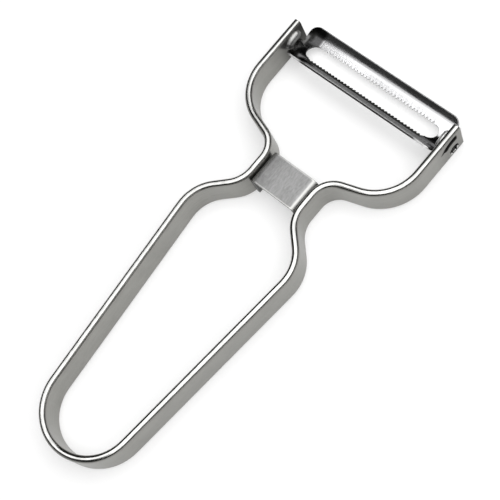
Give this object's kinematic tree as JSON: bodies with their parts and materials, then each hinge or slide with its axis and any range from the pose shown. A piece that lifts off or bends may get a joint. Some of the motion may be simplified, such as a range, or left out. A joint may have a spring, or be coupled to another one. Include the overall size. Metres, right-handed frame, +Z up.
{
  "type": "vegetable peeler",
  "caption": "All-metal Y-shaped vegetable peeler: a bent flat strip forms the handle loop and two arms that carry a swivelling, arched, serrated blade.",
  "frame": {"origin": "middle of the length and width, on the plane that the peeler lies flat on", "axes": "+Y along the tool from the handle to the blade, +Z up out of the side that the blade is hollow on, X across"},
  "size_m": [0.067, 0.1556, 0.0118],
  "materials": {
    "frame_steel": "satin tumbled stainless steel with polished edges",
    "bridge_steel": "brushed stainless sheet, grain along the tool",
    "blade_steel": "bright ground stainless blade steel"
  },
  "bodies": {
    "frame": {"handle_frame": "frame_steel", "bridge_plate": "bridge_steel"},
    "blade": {"swivel_blade": "blade_steel"}
  },
  "joints": [
    {"name": "blade_swivel", "type": "hinge", "parent": "frame", "child": "blade", "pos_m": [0, 0.06951, 0.0031], "axis": [1, 0, 0], "range_deg": [0, 54]}
  ]
}
